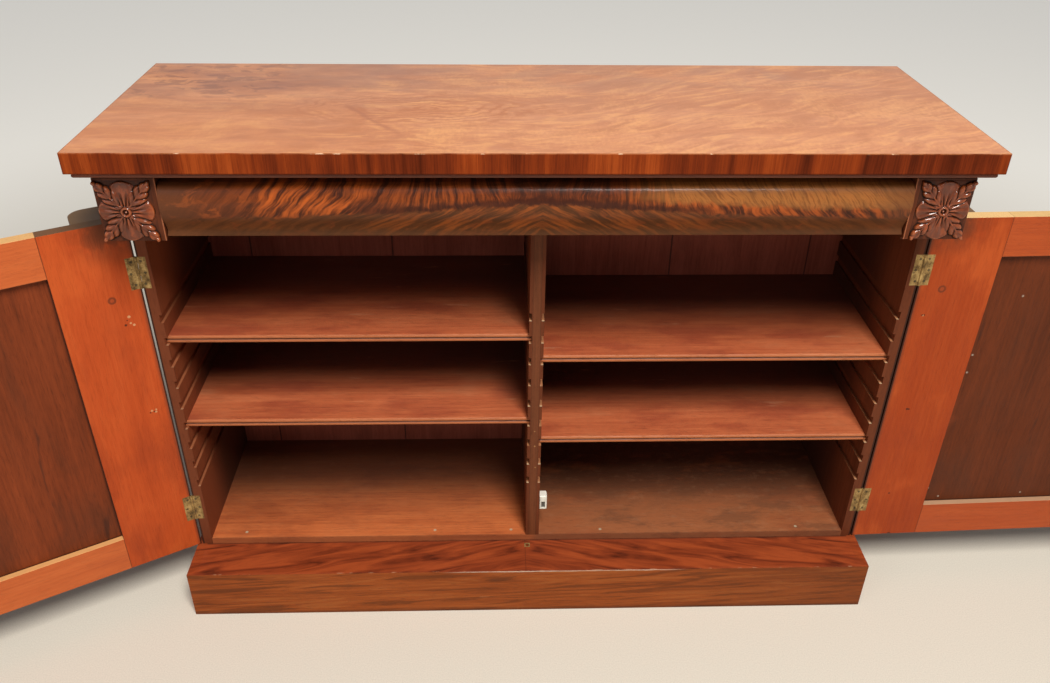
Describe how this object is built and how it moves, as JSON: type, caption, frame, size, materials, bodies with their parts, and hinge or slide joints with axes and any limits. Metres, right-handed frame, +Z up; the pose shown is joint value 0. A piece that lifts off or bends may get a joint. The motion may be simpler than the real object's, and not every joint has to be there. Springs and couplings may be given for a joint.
{
  "type": "chiffonier",
  "caption": "Low mahogany cupboard with paired panelled doors, grooved sides for loose shelves, a cushion frieze drawer between carved flower blocks, and a plain plinth.",
  "frame": {"origin": "on the floor, at the centre of the plinth's footprint, under the centre bearer", "axes": "+X to the right as seen from the front, +Y to the back, +Z up; the doors open towards -Y"},
  "size_m": [2.7775, 0.7033, 1.0588],
  "materials": {
    "top_veneer": "french-polished flame mahogany veneer, faded to orange-brown",
    "cross_banding": "polished cross-banded mahogany",
    "moulding_wood": "dark polished mahogany",
    "frieze_veneer": "polished flame mahogany veneer",
    "plinth_wood": "polished straight-grained mahogany, worn at the arris",
    "ledge_veneer": "polished flame mahogany veneer",
    "carcass_wood": "oiled mahogany",
    "floor_wood": "stained mahogany",
    "shelf_wood": "waxed red mahogany",
    "back_wood": "red-stained pine",
    "door_frame_wood": "oiled orange-red mahogany, unfaded inner face",
    "door_panel_wood": "dark red-brown mahogany",
    "drawer_oak": "dry oak",
    "softwood": "unfinished pine",
    "aged_brass": "aged and tarnished",
    "steel": "dull steel",
    "white_plastic": "smooth moulded"
  },
  "bodies": {
    "carcass": {"back_boards": "back_wood", "block_packings": "softwood", "bolt_keeper": "aged_brass", "carcass_hinge_leaves": "aged_brass", "carcass_screws": "aged_brass", "catch_housing": "white_plastic", "drawer_guides": "softwood", "drawer_stops": "softwood", "dust_board": "back_wood", "floor_board": "floor_wood", "frieze_block_left": "moulding_wood", "frieze_block_right": "moulding_wood", "hinge_pins": "aged_brass", "partition_core": "carcass_wood", "partition_linings": "carcass_wood", "patera_left": "moulding_wood", "patera_right": "moulding_wood", "plinth_frame": "plinth_wood", "plinth_front": "plinth_wood", "plinth_glue_blocks": "softwood", "plinth_ledge": "ledge_veneer", "side_left": "carcass_wood", "side_right": "carcass_wood", "soffit_board": "moulding_wood", "top_board": "top_veneer", "top_edge_bands": "cross_banding", "top_frame": "softwood", "top_moulding": "moulding_wood"},
    "left_door": {"left_door_bead": "moulding_wood", "left_door_console": "moulding_wood", "left_door_hinge_leaves": "aged_brass", "left_door_hinge_stile": "door_frame_wood", "left_door_meeting_stile": "door_frame_wood", "left_door_panel": "door_panel_wood", "left_door_plates": "aged_brass", "left_door_rails": "door_frame_wood", "left_door_screws": "aged_brass"},
    "right_door": {"right_door_bead": "moulding_wood", "right_door_console": "moulding_wood", "right_door_hinge_leaves": "aged_brass", "right_door_hinge_stile": "door_frame_wood", "right_door_meeting_stile": "door_frame_wood", "right_door_panel": "door_panel_wood", "right_door_rails": "door_frame_wood", "right_door_screws": "aged_brass", "lock_case": "aged_brass", "catch_strike": "steel"},
    "drawer": {"drawer_back": "drawer_oak", "drawer_bottoms": "drawer_oak", "drawer_front": "frieze_veneer", "drawer_muntin": "drawer_oak", "drawer_side_left": "drawer_oak", "drawer_side_right": "drawer_oak"},
    "shelf_left_upper": {"shelf_left_upper": "shelf_wood"},
    "shelf_left_lower": {"shelf_left_lower": "shelf_wood"},
    "shelf_right_upper": {"shelf_right_upper": "shelf_wood"},
    "shelf_right_lower": {"shelf_right_lower": "shelf_wood"},
    "lock_bolt": {"lock_bolt": "aged_brass"},
    "key": {"key": "steel"},
    "flush_bolt": {"flush_bolt": "aged_brass"}
  },
  "joints": [
    {"name": "left_door_hinge", "type": "hinge", "parent": "carcass", "child": "left_door", "pos_m": [-0.7149, -0.1288, 0.5], "axis": [0, 0, -1], "range_deg": [-150.6, 33.4]},
    {"name": "right_door_hinge", "type": "hinge", "parent": "carcass", "child": "right_door", "pos_m": [0.7149, -0.1288, 0.5], "axis": [0, 0, 1], "range_deg": [-182.1, 1.9]},
    {"name": "drawer_slide", "type": "slide", "parent": "carcass", "child": "drawer", "axis": [0, -1, 0], "range_m": [0, 0.26]},
    {"name": "shelf_left_upper_slide", "type": "slide", "parent": "carcass", "child": "shelf_left_upper", "axis": [0, -1, 0], "range_m": [0, 0.25]},
    {"name": "shelf_left_lower_slide", "type": "slide", "parent": "carcass", "child": "shelf_left_lower", "axis": [0, -1, 0], "range_m": [0, 0.25]},
    {"name": "shelf_right_upper_slide", "type": "slide", "parent": "carcass", "child": "shelf_right_upper", "axis": [0, -1, 0], "range_m": [0, 0.25]},
    {"name": "shelf_right_lower_slide", "type": "slide", "parent": "carcass", "child": "shelf_right_lower", "axis": [0, -1, 0], "range_m": [0, 0.25]},
    {"name": "key_turn", "type": "hinge", "parent": "right_door", "child": "key", "pos_m": [1.39258, -0.10365, 0.5], "axis": [-0.0366, 0.9993, 0], "range_deg": [0, 180]},
    {"name": "lock_bolt_slide", "type": "slide", "parent": "right_door", "child": "lock_bolt", "axis": [0.9993, 0.0366, 0], "range_m": [0, 0.009]},
    {"name": "flush_bolt_slide", "type": "slide", "parent": "left_door", "child": "flush_bolt", "axis": [0, 0, -1], "range_m": [0, 0.013]}
  ],
  "couplings": [
    {"joint": "lock_bolt_slide", "follows": "key_turn", "m_per_rad": 0.0028648}
  ]
}
